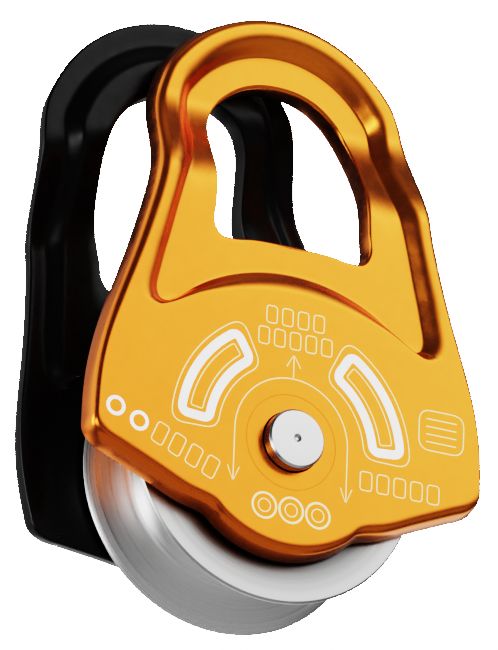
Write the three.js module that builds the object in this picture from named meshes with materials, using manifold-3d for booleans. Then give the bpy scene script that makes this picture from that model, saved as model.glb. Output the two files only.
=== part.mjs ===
// Rope pulley with swinging side plates, for climbing and rigging.
// A grooved aluminium sheave runs on a sealed ball bearing round a steel axle.
// The axle is pressed into the front side plate; the rear side plate swings on the axle's other end.
// Units are millimetres, +Z is up, the axle lies along Y and the front side plate faces -Y.
// The origin is the centre of the front plate's eye, on the sheave's mid-plane.
import * as THREE from 'three';
import { mergeVertices } from 'three/addons/utils/BufferGeometryUtils.js';
import Module from 'manifold-3d';

const wasm = await Module();
wasm.setup();

// Driving dimensions
const EYE_HEIGHT = 35;             // centre of the eye's round top above the axle
const PLATE_FACE = 10.19;          // outer face of each side plate, from the mid-plane
const PLATE_THICKNESS = 3;
const PLATE_EDGE_RADIUS = 1.2;     // rounding of the outer face's edge
const PLATE_EDGE_DRAFT = 0.35;     // how far the edge's wall leans in from the inner face
const FRONT_JOGGLE = 4.7;          // how far the eye's head steps in towards the other plate
const REAR_JOGGLE = 6.1;
const JOGGLE_START = 29;           // height above the axle where the step starts
const JOGGLE_END = 41;
const RECESS_LOW = 1.2;            // depth of the pressed floor below the eye
const RECESS_HIGH = 1.6;           // and round the eye's top
const RECESS_START = 26;           // heights above the axle between which the depth changes
const RECESS_END = 38;
const RECESS_WALL = 2.8;           // most width of the sloping wall round that floor
const RIM_FLAT = 0.16;             // least width of the flat rim between that wall and the edge
const EYE_EDGE_RADIUS = 0.4;
const PLATE_SWING = 16;            // degrees from the front plate to the rear plate at rest
const FRONT_HEAD_RISE = 0.3;       // how much taller the front plate's head is than a half circle
const REAR_HEAD_RISE = 0.8;

const LOBE_RADIUS = 13.1;          // rounded bottom of a side plate, about the axle
const LOBE_HALF_ANGLE = 44;
const HEAD_RADIUS = 17.1;          // rounded top of a side plate
const HEAD_CENTRE = EYE_HEIGHT;
const HEAD_START = 122;            // angle of the head's arc, from straight down
const FLOOR_ARC_RADIUS = 20.2;     // lower edge of the recess, clear of the sheave's flanges
const FLOOR_ARC_HALF_ANGLE = 42;
const FLOOR_HEAD_RADIUS = 12.6;
const FLOOR_HEAD_START = 118;
const ARC_POINTS = 8;
const FRONT_BORE = 3.55;
const REAR_BORE = 4.75;

const SHEAVE_RADIUS = 17.45;
const SHEAVE_HALF_WIDTH = 6.62;
const GROOVE_BASE = 11;
const GROOVE_RADIUS = 4.8;
const GROOVE_FLANK = THREE.MathUtils.degToRad(25);    // angle between each flank and the sheave's faces
const RIM_CHAMFER = 0.25;
const FACE_INNER_RADIUS = 10.2;    // where the sheave's flat side meets its hub pocket
const POCKET_RADIUS = 9.8;
const POCKET_FACE = 5.4;
const BEARING_SEAT = 8.05;
const SEAT_LIP_RADIUS = 7.1;
const SEAT_LIP_THICKNESS = 1;      // the lip in front of the bearing
const SEAT_MOUTH = 1.2;            // depth of the chamfer behind it

const BEARING_BORE = 4;
const BEARING_OUTSIDE = 7.95;
const BEARING_HALF_WIDTH = 2.5;
const BALL_COUNT = 9;
const BALL_RADIUS = 1.19;
const PITCH_RADIUS = 6;
const RACEWAY_RADIUS = 1.3;
const INNER_SHOULDER = 5.05;
const OUTER_SHOULDER = 6.95;
const CAGE_INNER = 5.45;
const CAGE_OUTER = 6.55;
const CAGE_HALF_WIDTH = 1.75;
const POCKET_HOLE = 1.42;
const SEAL_INNER = 5.22;
const SEAL_OUTER = 6.83;
const SEAL_NEAR = 1.92;
const SEAL_FAR = 2.34;
const SEAL_BEAD = 0.12;            // height and width of the lips at the seal's edges
const SEAL_BEAD_WIDTH = 0.4;

const CIRCLIP_FACE = 2.8;
const CIRCLIP_THICKNESS = 0.6;
const CIRCLIP_INNER = 7.35;
const CIRCLIP_OUTER = 8.6;
const CIRCLIP_OPENING = 20;        // half of the opening, in degrees
const CIRCLIP_GROOVE = 8.75;
const CIRCLIP_PLAY = 0.15;         // gap on each side of it in its groove
const CIRCLIP_STEPS = 28;
const LUG_RADIUS = 0.95;
const LUG_HOLE = 0.42;
const LUG_OVERLAP = 0.45;          // how far a lug's hole circle reaches into the ring
const LUG_TURN = 7;                // degrees from the ring's end to a lug's hole
const LUG_SPAN = 16;               // degrees over which the ring is as deep as its lug
const LUG_DEPTH = 0.71;            // from a lug's hole centre to its inner edge

const JOURNAL_RADIUS = 3.41;       // axle ends, where the side plates sit
const AXLE_RADIUS = 3.92;          // middle of the axle, where the bearing sits
const AXLE_FRONT = 11.81;
const AXLE_CHAMFER = 0.28;
const AXLE_SHOULDER = 7.05;
const DIMPLE_RADIUS = 0.45;
const DIMPLE_DEPTH = 0.35;
const HEAD_OUTSIDE = 4.9;
const HEAD_NEAR = 11.2;
const HEAD_FAR = 12.35;
const HEAD_ROUNDING = 0.5;

const SLEEVE_INNER = 4.05;
const SPACER_OUTER = 5.3;
const THRUST_OUTER = 6.3;
const THRUST_THICKNESS = 0.7;
const BUSH_INNER = 3.56;
const BUSH_OUTER = 4.62;
const WASHER_OUTER = 6.2;
const AXIAL_GAP = 0.1;             // running gap between neighbouring faces
const PRESS_GAP = 0.05;            // from the bush's end to the plate's inner face
const SMALL_CHAMFER = 0.15;

const LATHE_SEGMENTS = 28;
const SHEAVE_SEGMENTS = 36;
const LOWER_COLUMNS = 13;          // plate mesh columns from the middle of the bottom to the corner
const UPPER_COLUMNS = 18;          // and from the corner to the top

const rad = THREE.MathUtils.degToRad;
const point = (x, y) => new THREE.Vector2(x, y);

const finishes = {
  gold: { color: 0xe9a52a, roughness: 0.32, metalness: 0.9 },
  black: { color: 0x151516, roughness: 0.38, metalness: 0.6 },
  turnedAluminium: { color: 0xc9cacb, roughness: 0.3, metalness: 1 },
  steel: { color: 0xbfc1c4, roughness: 0.22, metalness: 1 },
  bearingSteel: { color: 0xb4b7bb, roughness: 0.15, metalness: 1 },
  ballSteel: { color: 0xd8dadd, roughness: 0.05, metalness: 1 },
  bronze: { color: 0xb08347, roughness: 0.4, metalness: 1 },
  polymer: { color: 0xe6e3da, roughness: 0.55, metalness: 0 },
  cagePolymer: { color: 0x6b4a2a, roughness: 0.6, metalness: 0 },
  rubber: { color: 0x1d1c1b, roughness: 0.75, metalness: 0 },
};

const part = new THREE.Group();
const pulley = new THREE.Group();
pulley.position.z = -EYE_HEIGHT;
part.add(pulley);

// ---- Shared geometry helpers ----

function signedVolume(geometry) {
  const p = geometry.attributes.position;
  const [a, b, c] = [new THREE.Vector3(), new THREE.Vector3(), new THREE.Vector3()];
  let sum = 0;
  for (let i = 0; i < geometry.index.count; i += 3) {
    a.fromBufferAttribute(p, geometry.index.getX(i));
    b.fromBufferAttribute(p, geometry.index.getX(i + 1));
    c.fromBufferAttribute(p, geometry.index.getX(i + 2));
    sum += a.dot(b.cross(c)) / 6;
  }
  return sum;
}

// Merges shared vertices and turns the faces outwards.
function closedSolid(source) {
  source.deleteAttribute('normal');
  source.deleteAttribute('uv');
  const geometry = mergeVertices(source, 1e-5);
  if (signedVolume(geometry) < 0) {
    geometry.setIndex(Array.from(geometry.index.array).reverse());
  }
  geometry.computeVertexNormals();
  return geometry;
}

function toManifold(geometry) {
  const solid = closedSolid(geometry);
  return new wasm.Manifold(new wasm.Mesh({
    numProp: 3,
    vertProperties: new Float32Array(solid.attributes.position.array),
    triVerts: new Uint32Array(solid.index.array),
  }));
}

function fromManifold(manifold) {
  const mesh = manifold.getMesh();
  const geometry = new THREE.BufferGeometry();
  geometry.setAttribute('position', new THREE.BufferAttribute(new Float32Array(mesh.vertProperties), 3));
  geometry.setIndex(new THREE.BufferAttribute(new Uint32Array(mesh.triVerts), 1));
  geometry.computeVertexNormals();
  return geometry;
}

// A ring turned about the axle: its section is a closed loop of [radius, y] points.
function turned(section, segments = LATHE_SEGMENTS) {
  const loop = section.map(([r, y]) => point(r, y));
  const onAxis = section[0][0] === 0;
  if (!onAxis) loop.push(loop[0].clone());
  return closedSolid(new THREE.LatheGeometry(loop, segments));
}

// A plain sleeve or washer between two places along the axle.
function sleeve(inner, outer, near, far) {
  return turned([[inner, near], [outer, near], [outer, far], [inner, far]]);
}

function add(name, geometry, finish, parent = pulley) {
  const mesh = new THREE.Mesh(geometry, new THREE.MeshStandardMaterial(finishes[finish]));
  mesh.name = name;
  parent.add(mesh);
  return mesh;
}

// ---- Side plates ----

// Points of an arc from the middle of the bottom, both angles in degrees from straight down.
function arcPoints(centreHeight, radius, from, to, count) {
  return Array.from({ length: count }, (_, i) => {
    const angle = rad(THREE.MathUtils.lerp(from, to, i / (count - 1)));
    return point(radius * Math.sin(angle), centreHeight - radius * Math.cos(angle));
  });
}

// Right half of the plate's outside edge, from the middle of the bottom to the middle of the top.
// The part above the head's centre is stretched upwards by headRise.
function outlineHalf(headRise) {
  const straightEdge = [point(12.6, -8.4), point(16.5, -6.7), point(20.5, -5)];
  const corner = [point(23.05, -3.85), point(24.15, -2.6)];
  const side = [
    point(24.3, -0.5), point(24.1, 4), point(23.45, 8), point(22.4, 12), point(21.05, 16), point(19.75, 20),
    point(18.6, 24), point(17.6, 28), point(17, 32), point(16.55, 36), point(15.9, 40),
  ];
  const half = [
    ...arcPoints(0, LOBE_RADIUS, 0, LOBE_HALF_ANGLE, ARC_POINTS - 1), ...straightEdge, ...corner, ...side,
    ...arcPoints(HEAD_CENTRE, HEAD_RADIUS, HEAD_START, 180, ARC_POINTS),
  ];
  const stretch = 1 + headRise / HEAD_RADIUS;
  return half.map((p) => (p.y > HEAD_CENTRE ? point(p.x, HEAD_CENTRE + (p.y - HEAD_CENTRE) * stretch) : p));
}

// Right half of the recess floor's edge: an arc under the eye, a rounded corner, and round the eye.
function floorHalf() {
  const corner = [point(14.7, 14.15), point(15.85, 14.2), point(16.35, 15.3)];
  const side = [point(15.8, 18.5), point(14.95, 22), point(14.1, 25.8), point(13.3, 28.8), point(12.35, 31.6),
    point(11.7, 34.5), point(11.45, 37.5)];
  return [
    ...arcPoints(0, FLOOR_ARC_RADIUS, 180, 180 - FLOOR_ARC_HALF_ANGLE, ARC_POINTS), ...corner, ...side,
    ...arcPoints(EYE_HEIGHT, FLOOR_HEAD_RADIUS, FLOOR_HEAD_START, 180, ARC_POINTS),
  ];
}

// Right half of the eye, from the middle of its flat bottom to the middle of its top.
function eyeHalf() {
  return [
    point(0, 23.6), point(4.5, 23.5), point(7.2, 23.15), point(8.9, 23.4), point(9.65, 24.8),
    point(9.5, 27), point(9.4, 30), point(9.4, 34), point(9.05, 37.5), point(7.75, 40.4),
    point(5.2, 42.7), point(2.7, 43.75), point(0, 44.05),
  ];
}

// A closed loop from its right half, sampled so that column i of every loop faces column i of the
// others: the first columns run to the point nearest the corner, the rest from there to the top.
function sampledLoop(half, corner) {
  const mirrored = half.slice(1, -1).reverse().map((p) => point(-p.x, p.y));
  const knots = [...half, ...mirrored].map((p) => new THREE.Vector3(p.x, p.y, 0));
  const curve = new THREE.CatmullRomCurve3(knots, true, 'centripetal');
  const fine = 2000;
  const dense = curve.getSpacedPoints(fine).map((p) => point(p.x, p.y));
  const right = dense.slice(0, fine / 2 + 1);
  let split = 0;
  right.forEach((p, i) => {
    if (p.distanceTo(corner) < right[split].distanceTo(corner)) split = i;
  });
  const halfLoop = [];
  for (let i = 0; i < LOWER_COLUMNS; i++) halfLoop.push(right[Math.round(split * i / LOWER_COLUMNS)]);
  for (let i = 0; i <= UPPER_COLUMNS; i++) {
    halfLoop.push(right[split + Math.round((right.length - 1 - split) * i / UPPER_COLUMNS)]);
  }
  const left = halfLoop.slice(1, -1).reverse().map((p) => point(-p.x, p.y));
  return [...halfLoop, ...left];
}

// Share of the step towards the other plate that is reached at a height above the axle.
const joggle = (height) => THREE.MathUtils.smoothstep(height, JOGGLE_START, JOGGLE_END);

// Depth of the pressed floor at a height above the axle.
const changeOver = (height) => THREE.MathUtils.smoothstep(height, RECESS_START, RECESS_END);
const floorDepth = (height) => THREE.MathUtils.lerp(RECESS_LOW, RECESS_HIGH, changeOver(height));

// Moves every point of a loop a distance, given by its place, towards the matching point of another loop.
function towards(loop, target, distance) {
  return loop.map((p, i) => p.clone().add(target[i].clone().sub(p).setLength(distance(i))));
}

// The plate is a tube of loops: over the outer face from edge to eye, and back over the inner face.
function platePressing(joggleDepth, headRise) {
  const outline = sampledLoop(outlineHalf(headRise), point(22.4, 12));
  const floor = sampledLoop(floorHalf(), point(15.7, 13.75));
  const eye = sampledLoop(eyeHalf(), point(9.3, 23.3));
  const r = PLATE_EDGE_RADIUS;
  const e = EYE_EDGE_RADIUS;
  const edge = PLATE_EDGE_DRAFT + r;
  const wall = outline.map((p, i) => Math.min(RECESS_WALL, p.distanceTo(floor[i]) - edge - RIM_FLAT));
  const shoulder = towards(floor, outline, (i) => wall[i]);
  const back = PLATE_THICKNESS;
  const rounding = 0.3 * r;          // middle of the edge's quarter round, from both faces
  const wallTop = { share: 0.65, depth: 0.16 };
  const wallFoot = { share: 0.25, depth: 0.72 };
  const rings = [
    { loop: outline, depth: () => back },
    { loop: towards(outline, shoulder, () => PLATE_EDGE_DRAFT), depth: () => r },
    { loop: towards(outline, shoulder, () => PLATE_EDGE_DRAFT + rounding), depth: () => rounding },
    { loop: towards(outline, shoulder, () => edge), depth: () => 0 },
    { loop: shoulder, depth: () => 0 },
    ...[wallTop, wallFoot].map(({ share, depth }) => (
      { loop: towards(floor, outline, (i) => share * wall[i]), depth: (height) => depth * floorDepth(height) }
    )),
    { loop: floor, depth: floorDepth },
    { loop: towards(eye, floor, () => e), depth: floorDepth },
    { loop: eye, depth: (height) => floorDepth(height) + e },
    { loop: eye, depth: (height) => floorDepth(height) + back },
    { loop: floor, depth: (height) => floorDepth(height) + back },
    { loop: shoulder, depth: () => back },
  ];
  const columns = outline.length;
  const positions = rings.flatMap(({ loop, depth }) => (
    loop.flatMap((p) => [p.x, -PLATE_FACE + depth(p.y) + joggleDepth * joggle(p.y), p.y])
  ));
  const index = [];
  rings.forEach((_, k) => {
    const next = (k + 1) % rings.length;
    for (let i = 0; i < columns; i++) {
      const j = (i + 1) % columns;
      const [a, b, c, d] = [k * columns + i, k * columns + j, next * columns + j, next * columns + i];
      index.push(a, b, c, a, c, d);
    }
  });
  const geometry = new THREE.BufferGeometry();
  geometry.setAttribute('position', new THREE.Float32BufferAttribute(positions, 3));
  geometry.setIndex(index);
  return geometry;
}

function bored(geometry, radius) {
  const drill = new THREE.CylinderGeometry(radius, radius, 4 * PLATE_FACE, LATHE_SEGMENTS);
  return fromManifold(toManifold(geometry).subtract(toManifold(drill)));
}

function addSidePlates() {
  add('front_side_plate', bored(platePressing(FRONT_JOGGLE, FRONT_HEAD_RISE), FRONT_BORE), 'gold');
  const rear = bored(platePressing(REAR_JOGGLE, REAR_HEAD_RISE).scale(1, -1, 1), REAR_BORE);
  add('rear_side_plate', rear, 'black', swingGroup);
  const bushNear = PLATE_FACE - PLATE_THICKNESS + PRESS_GAP;
  add('rear_plate_bush', sleeve(BUSH_INNER, BUSH_OUTER, bushNear, PLATE_FACE), 'bronze', swingGroup);
}

// ---- Axle, spacers and washers ----

function addAxle() {
  add('axle', turned([
    [0, -AXLE_FRONT + DIMPLE_DEPTH], [DIMPLE_RADIUS, -AXLE_FRONT],
    [JOURNAL_RADIUS - AXLE_CHAMFER, -AXLE_FRONT], [JOURNAL_RADIUS, -AXLE_FRONT + AXLE_CHAMFER],
    [JOURNAL_RADIUS, -AXLE_SHOULDER], [AXLE_RADIUS, -AXLE_SHOULDER],
    [AXLE_RADIUS, AXLE_SHOULDER], [JOURNAL_RADIUS, AXLE_SHOULDER],
    [JOURNAL_RADIUS, HEAD_NEAR], [HEAD_OUTSIDE, HEAD_NEAR],
    [HEAD_OUTSIDE, HEAD_FAR - HEAD_ROUNDING], [HEAD_OUTSIDE - HEAD_ROUNDING, HEAD_FAR], [0, HEAD_FAR],
  ]), 'steel');
  const innerFace = PLATE_FACE - PLATE_THICKNESS - AXIAL_GAP;
  const raceFace = BEARING_HALF_WIDTH + AXIAL_GAP;
  const thrustNear = innerFace - THRUST_THICKNESS;
  add('front_spacer', sleeve(SLEEVE_INNER, SPACER_OUTER, -innerFace, -raceFace), 'steel');
  add('rear_spacer', sleeve(SLEEVE_INNER, SPACER_OUTER, raceFace, thrustNear - AXIAL_GAP), 'steel');
  add('rear_thrust_washer', sleeve(SLEEVE_INNER, THRUST_OUTER, thrustNear, innerFace), 'polymer');
  const washer = sleeve(BUSH_INNER, WASHER_OUTER, PLATE_FACE + AXIAL_GAP, HEAD_NEAR - AXIAL_GAP);
  add('rear_outer_washer', washer, 'steel');
}

// ---- Sheave ----

function addSheave() {
  const w = SHEAVE_HALF_WIDTH;
  const centre = GROOVE_BASE + GROOVE_RADIUS;
  const steps = 8;
  const groove = Array.from({ length: steps + 1 }, (_, i) => {
    const angle = THREE.MathUtils.lerp(GROOVE_FLANK, Math.PI - GROOVE_FLANK, i / steps);
    return [centre - GROOVE_RADIUS * Math.sin(angle), -GROOVE_RADIUS * Math.cos(angle)];
  });
  const [flankRadius, flankNear] = groove[0];
  const brink = (SHEAVE_RADIUS - flankRadius) * Math.tan(GROOVE_FLANK) - flankNear;
  const seatNear = -BEARING_HALF_WIDTH - AXIAL_GAP;
  const clipNear = CIRCLIP_FACE - CIRCLIP_PLAY;
  const clipFar = CIRCLIP_FACE + CIRCLIP_THICKNESS + CIRCLIP_PLAY;
  add('sheave', turned([
    [BEARING_SEAT, seatNear], [SEAT_LIP_RADIUS, seatNear], [SEAT_LIP_RADIUS, seatNear - SEAT_LIP_THICKNESS],
    [POCKET_RADIUS, -POCKET_FACE], [FACE_INNER_RADIUS, -w],
    [SHEAVE_RADIUS - RIM_CHAMFER, -w], [SHEAVE_RADIUS, -w + RIM_CHAMFER], [SHEAVE_RADIUS, -brink],
    ...groove,
    [SHEAVE_RADIUS, brink], [SHEAVE_RADIUS, w - RIM_CHAMFER], [SHEAVE_RADIUS - RIM_CHAMFER, w],
    [FACE_INNER_RADIUS, w], [POCKET_RADIUS, POCKET_FACE], [BEARING_SEAT, POCKET_FACE - SEAT_MOUTH],
    [BEARING_SEAT, clipFar], [CIRCLIP_GROOVE, clipFar],
    [CIRCLIP_GROOVE, clipNear], [BEARING_SEAT, clipNear],
  ], SHEAVE_SEGMENTS), 'turnedAluminium');
}

// ---- Ball bearing ----

// Half of a raceway groove's section, as points along an arc about the ball's centre.
function raceway(shoulder, side) {
  const reach = Math.acos(Math.abs(PITCH_RADIUS - shoulder) / RACEWAY_RADIUS);
  const steps = 3;
  return Array.from({ length: steps + 1 }, (_, i) => {
    const angle = THREE.MathUtils.lerp(-reach, reach, i / steps);
    return [PITCH_RADIUS + side * RACEWAY_RADIUS * Math.cos(angle), RACEWAY_RADIUS * Math.sin(angle)];
  });
}

function addRaces() {
  const w = BEARING_HALF_WIDTH;
  const c = SMALL_CHAMFER;
  add('bearing_outer_race', turned([
    [OUTER_SHOULDER, -w], [OUTER_SHOULDER, -w + c], ...raceway(OUTER_SHOULDER, 1), [OUTER_SHOULDER, w],
    [BEARING_OUTSIDE - c, w], [BEARING_OUTSIDE, w - c],
    [BEARING_OUTSIDE, -w + c], [BEARING_OUTSIDE - c, -w],
  ]), 'bearingSteel');
  add('bearing_inner_race', turned([
    [INNER_SHOULDER, -w], [INNER_SHOULDER, -w + c], ...raceway(INNER_SHOULDER, -1), [INNER_SHOULDER, w],
    [BEARING_BORE + c, w], [BEARING_BORE, w - c], [BEARING_BORE, -w + c], [BEARING_BORE + c, -w],
  ]), 'bearingSteel');
}

function addCage() {
  const ring = turned([
    [CAGE_INNER, -CAGE_HALF_WIDTH], [CAGE_OUTER, -CAGE_HALF_WIDTH],
    [CAGE_OUTER, CAGE_HALF_WIDTH], [CAGE_INNER, CAGE_HALF_WIDTH],
  ], 4 * BALL_COUNT);
  let cage = toManifold(ring);
  for (let i = 0; i < BALL_COUNT; i++) {
    const drill = new THREE.CylinderGeometry(POCKET_HOLE, POCKET_HOLE, 3, 10);
    drill.rotateZ(Math.PI / 2).translate(PITCH_RADIUS, 0, 0).rotateY(2 * Math.PI * i / BALL_COUNT);
    cage = cage.subtract(toManifold(drill));
  }
  add('bearing_cage', fromManifold(cage), 'cagePolymer');
}

function addBalls() {
  for (let i = 0; i < BALL_COUNT; i++) {
    const sphere = closedSolid(new THREE.SphereGeometry(BALL_RADIUS, 10, 6));
    const ball = add(`bearing_ball_${i + 1}`, sphere, 'ballSteel');
    const angle = 2 * Math.PI * i / BALL_COUNT;
    ball.position.set(PITCH_RADIUS * Math.cos(angle), 0, -PITCH_RADIUS * Math.sin(angle));
  }
}

function addSeals() {
  for (const [name, side] of [['front_bearing_seal', -1], ['rear_bearing_seal', 1]]) {
    add(name, turned([
      [SEAL_INNER, side * SEAL_NEAR], [SEAL_OUTER, side * SEAL_NEAR], [SEAL_OUTER, side * SEAL_FAR],
      [SEAL_OUTER - SEAL_BEAD_WIDTH, side * (SEAL_FAR - SEAL_BEAD)],
      [SEAL_INNER + SEAL_BEAD_WIDTH, side * (SEAL_FAR - SEAL_BEAD)],
      [SEAL_INNER, side * SEAL_FAR],
    ]), 'rubber');
  }
}

// An open spring ring with a drilled lug at each end, in the sheave's groove behind the bearing.
// Its opening faces up, so that the sheave hangs at rest.
function addCirclip() {
  const start = rad(CIRCLIP_OPENING);
  const lugCentre = CIRCLIP_INNER - LUG_RADIUS + LUG_OVERLAP;
  const outer = [];
  const steps = CIRCLIP_STEPS;
  for (let i = 0; i <= steps; i++) {
    const angle = THREE.MathUtils.lerp(start, 2 * Math.PI - start, i / steps);
    outer.push(point(CIRCLIP_OUTER * Math.cos(angle), CIRCLIP_OUTER * Math.sin(angle)));
  }
  const lug = (angle) => point(lugCentre * Math.cos(angle), lugCentre * Math.sin(angle));
  const lugTurn = rad(LUG_TURN);
  const inner = [];
  for (let i = 0; i <= steps; i++) {
    const angle = THREE.MathUtils.lerp(2 * Math.PI - start, start, i / steps);
    const fromEnd = Math.min(angle - start, 2 * Math.PI - start - angle);
    const radius = fromEnd < rad(LUG_SPAN) ? lugCentre - LUG_DEPTH : CIRCLIP_INNER;
    inner.push(point(radius * Math.cos(angle), radius * Math.sin(angle)));
  }
  const shape = new THREE.Shape([...outer, ...inner]);
  for (const end of [start + lugTurn, -start - lugTurn]) {
    const centre = lug(end);
    const hole = new THREE.Path();
    hole.absarc(centre.x, centre.y, LUG_HOLE, 0, 2 * Math.PI, true);
    shape.holes.push(hole);
  }
  const plain = { depth: CIRCLIP_THICKNESS, bevelEnabled: false, curveSegments: 5 };
  const ring = new THREE.ExtrudeGeometry(shape, plain);
  ring.rotateX(-Math.PI / 2).rotateY(-Math.PI / 2).translate(0, CIRCLIP_FACE, 0);
  add('bearing_circlip', closedSolid(ring), 'steel');
}

// ---- Assembly ----

// Everything that swings with the rear side plate, turned about the axle.
const swingGroup = new THREE.Group();
swingGroup.rotation.y = -rad(PLATE_SWING);
pulley.add(swingGroup);

addSidePlates();
addAxle();
addSheave();
addRaces();
addCage();
addBalls();
addSeals();
addCirclip();

export default part;
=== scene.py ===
"""Looks of a rope pulley: pressed side plates, a turned sheave, a steel axle and a ball bearing.

Dimensions are millimetres. A plate's own frame has u across the plate, v up from the axle, and depth from
its outer face towards the sheave. Everything placed in the scene is in metres.
"""
import math

import bmesh
import bpy
import numpy as np
from mathutils import Matrix, Vector


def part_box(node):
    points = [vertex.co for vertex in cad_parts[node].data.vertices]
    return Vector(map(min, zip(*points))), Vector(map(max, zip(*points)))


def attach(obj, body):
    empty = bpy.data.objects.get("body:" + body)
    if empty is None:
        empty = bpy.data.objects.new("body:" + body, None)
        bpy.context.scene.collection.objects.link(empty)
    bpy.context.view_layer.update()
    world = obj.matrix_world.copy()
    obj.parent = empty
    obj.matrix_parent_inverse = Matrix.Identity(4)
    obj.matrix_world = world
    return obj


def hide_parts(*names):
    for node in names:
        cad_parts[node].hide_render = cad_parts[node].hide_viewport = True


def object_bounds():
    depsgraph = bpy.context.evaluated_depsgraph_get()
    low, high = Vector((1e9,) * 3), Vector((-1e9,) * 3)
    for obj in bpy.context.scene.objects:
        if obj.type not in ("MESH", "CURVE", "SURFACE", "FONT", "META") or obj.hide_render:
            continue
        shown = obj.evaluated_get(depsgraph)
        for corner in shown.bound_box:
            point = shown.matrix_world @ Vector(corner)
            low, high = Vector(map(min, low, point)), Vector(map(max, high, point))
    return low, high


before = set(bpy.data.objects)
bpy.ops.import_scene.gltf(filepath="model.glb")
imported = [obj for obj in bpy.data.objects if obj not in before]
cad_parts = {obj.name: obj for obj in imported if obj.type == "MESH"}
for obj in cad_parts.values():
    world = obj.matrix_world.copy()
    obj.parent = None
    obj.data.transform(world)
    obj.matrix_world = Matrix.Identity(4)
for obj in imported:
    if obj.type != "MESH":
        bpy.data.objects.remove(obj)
cad_low, cad_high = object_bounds()

MM = 0.001                  # metres
TINY = 1e-6
SHARP_ANGLE = 35.0          # edges sharper than this stay crisp, degrees

# ---- Places taken from the frame ----

axle_low, axle_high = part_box("axle")
sheave_low, sheave_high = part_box("sheave")
AXLE = Vector(((axle_low.x + axle_high.x) / 2, (sheave_low.y + sheave_high.y) / 2,
               (axle_low.z + axle_high.z) / 2))
PLATE_FACE = -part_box("front_side_plate")[0].y / MM

# ---- Side plate dimensions, mm ----

PLATE_SWING = 16.0          # how far the rear plate is swung to the left, degrees
THICKNESS = 3.0
EDGE_RADIUS = 1.2
EDGE_DRAFT = 0.35           # how far the outer edge leans in over the plate's thickness
BACK_EDGE_RADIUS = 0.3
EYE_EDGE_RADIUS = 0.4
FRONT_BORE = 3.55
REAR_BORE = 4.75

EYE_HEIGHT = 35.0           # centre of the rounded head
HEAD_RADIUS = 17.1
FRONT_HEAD_RISE = 0.3       # how much taller than round each head is
REAR_HEAD_RISE = 0.8
LOBE_RADIUS = 13.1          # round bottom below the axle
FRONT_JOGGLE = 4.7          # how far each plate steps in towards the other, between the two heights
REAR_JOGGLE = 6.1
JOGGLE_SPAN = (29.0, 41.0)
RECESS_LOW = 1.2            # depth of the recess round the eye, below and above the two heights
RECESS_HIGH = 1.6
RECESS_SPAN = (26.0, 38.0)
RECESS_WALL = 2.8           # how wide its wall is
FLOOR_ARC_RADIUS = 20.2     # its floor's arched foot, round the axle
FLOOR_HEAD_RADIUS = 12.6
LOWER_COLUMNS = 110         # mesh columns of half a plate, below and above its corner
UPPER_COLUMNS = 160

OUTLINE_SIDE = [(12.6, -8.4), (16.5, -6.7), (20.5, -5.0), (23.05, -3.85), (24.15, -2.6), (24.3, -0.5),
                (24.1, 4.0), (23.45, 8.0), (22.4, 12.0), (21.05, 16.0), (19.75, 20.0), (18.6, 24.0),
                (17.6, 28.0), (17.0, 32.0), (16.55, 36.0), (15.9, 40.0)]
FLOOR_SIDE = [(14.7, 14.15), (15.85, 14.2), (16.35, 15.3), (15.8, 18.5), (14.95, 22.0), (14.1, 25.8),
              (13.3, 28.8), (12.35, 31.6), (11.7, 34.5), (11.45, 37.5)]
EYE_HALF = [(0.0, 23.6), (4.5, 23.5), (7.2, 23.15), (8.9, 23.4), (9.65, 24.8), (9.5, 27.0), (9.4, 30.0),
            (9.4, 34.0), (9.05, 37.5), (7.75, 40.4), (5.2, 42.7), (2.7, 43.75), (0.0, 44.05)]
OUTLINE_CORNER = (22.4, 12.0)       # where the columns of the three loops meet
FLOOR_CORNER = (15.7, 13.75)
EYE_CORNER = (9.3, 23.3)

# ---- Turned part dimensions, mm: radii, and distances along the axle from the sheave's middle ----

SHEAVE_RADIUS = 17.45
SHEAVE_HALF_WIDTH = 6.62
RIM_CHAMFER = 0.22
GROOVE_BASE = 11.0
GROOVE_RADIUS = 4.8
GROOVE_FLANK = 25.0         # degrees between a flank and the sheave's faces
GROOVE_LIP = 2.2            # how far down the flank its rounded lip starts
LIP_LAND = 0.25             # how far the lip reaches on to the rim
DISH_RADIUS = 10.2          # the dish in each face, at the face
DISH_FLOOR = (9.8, 5.4)     # and at its floor: radius and distance
BEARING_SEAT = 8.05
SEAT_STOP = (7.1, -3.6, -2.6)       # the lip in front of the bearing: radius and both sides
SEAT_END = 4.2
CIRCLIP_GROOVE = (8.75, 2.65, 3.55)

AXLE_NEAR = -11.81
AXLE_FAR = 12.35
AXLE_THIN = 3.41            # at the side plates
AXLE_THICK = 3.92           # under the bearing
AXLE_SHOULDER = 7.05
AXLE_CHAMFER = 0.23
RIVET_RADIUS = 4.9
RIVET_NEAR = 11.2

BEARING_HALF_WIDTH = 2.5
BALL_PITCH = 6.0
BALL_RADIUS = 1.19
BALL_COUNT = 9
RACEWAY = 1.3
INNER_RACE = (4.0, 5.05)            # plain side and shoulder
OUTER_RACE = (7.95, 6.95)
SEAL_RADII = (5.22, 5.65, 6.4, 6.83)
SEAL_SIDES = (1.92, 2.34)
SEAL_GROOVE = 0.12

# rings on the axle: bore, outer radius and both sides
THICK_BORE = 4.05
THIN_BORE = 3.56
FRONT_SPACER = (THICK_BORE, 5.3, -7.09, -2.6)
REAR_SPACER = (THICK_BORE, 5.3, 2.6, 6.29)
THRUST_WASHER = (THICK_BORE, 6.3, 6.39, 7.09)
OUTER_WASHER = (THIN_BORE, 6.2, 10.29, 11.1)
BUSH = (THIN_BORE, 4.62, 7.24, 10.19)


# ---- Curves ----

def arc(centre_v, radius, start, end, count):
    """Points of an arc on the plate's middle line, angles in degrees from straight down."""
    angles = np.radians(np.linspace(start, end, count))
    return [(radius * math.sin(a), centre_v - radius * math.cos(a)) for a in angles]


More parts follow.
